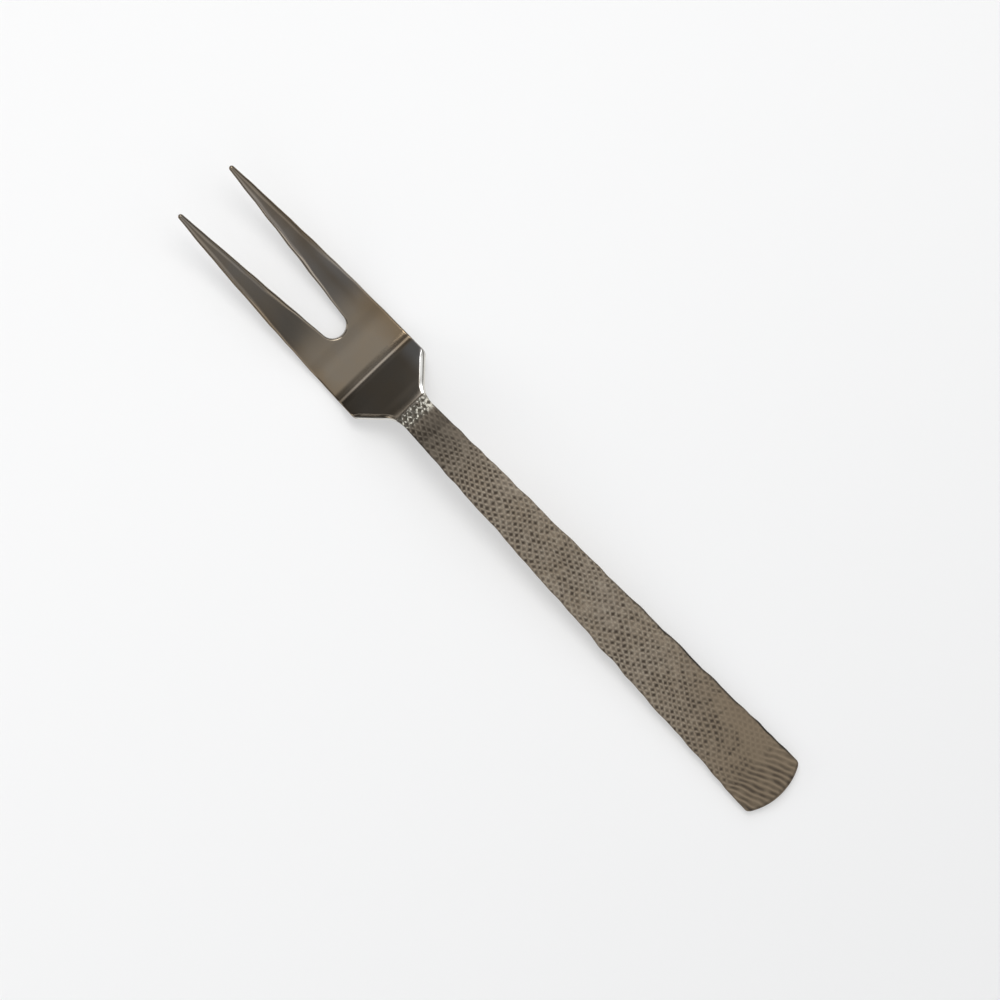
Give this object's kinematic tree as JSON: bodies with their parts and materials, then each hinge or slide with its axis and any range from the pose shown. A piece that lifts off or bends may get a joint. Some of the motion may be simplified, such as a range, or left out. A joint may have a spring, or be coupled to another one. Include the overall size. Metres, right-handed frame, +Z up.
{
  "type": "cold meat fork",
  "caption": "Flat serving fork with long pointed tines, a bent root, a stepped-up neck and a tapering textured handle, for lifting sliced cold meat.",
  "frame": {"origin": "centre of the fork's box, on the surface that it lies on", "axes": "+X along the fork from the butt of the handle to the tips of the tines, +Z up from the surface, with the hollow side of the tines up"},
  "size_m": [0.215, 0.0252, 0.0161],
  "materials": {
    "head_steel": "satin, dark bronze-grey tone",
    "handle_steel": "diamond texture, dark bronze-grey tone",
    "braze": "dressed flush under the same tone as the steel"
  },
  "bodies": {
    "root": {"fork_head": "head_steel", "braze_seam": "braze", "handle": "handle_steel"}
  },
  "joints": []
}
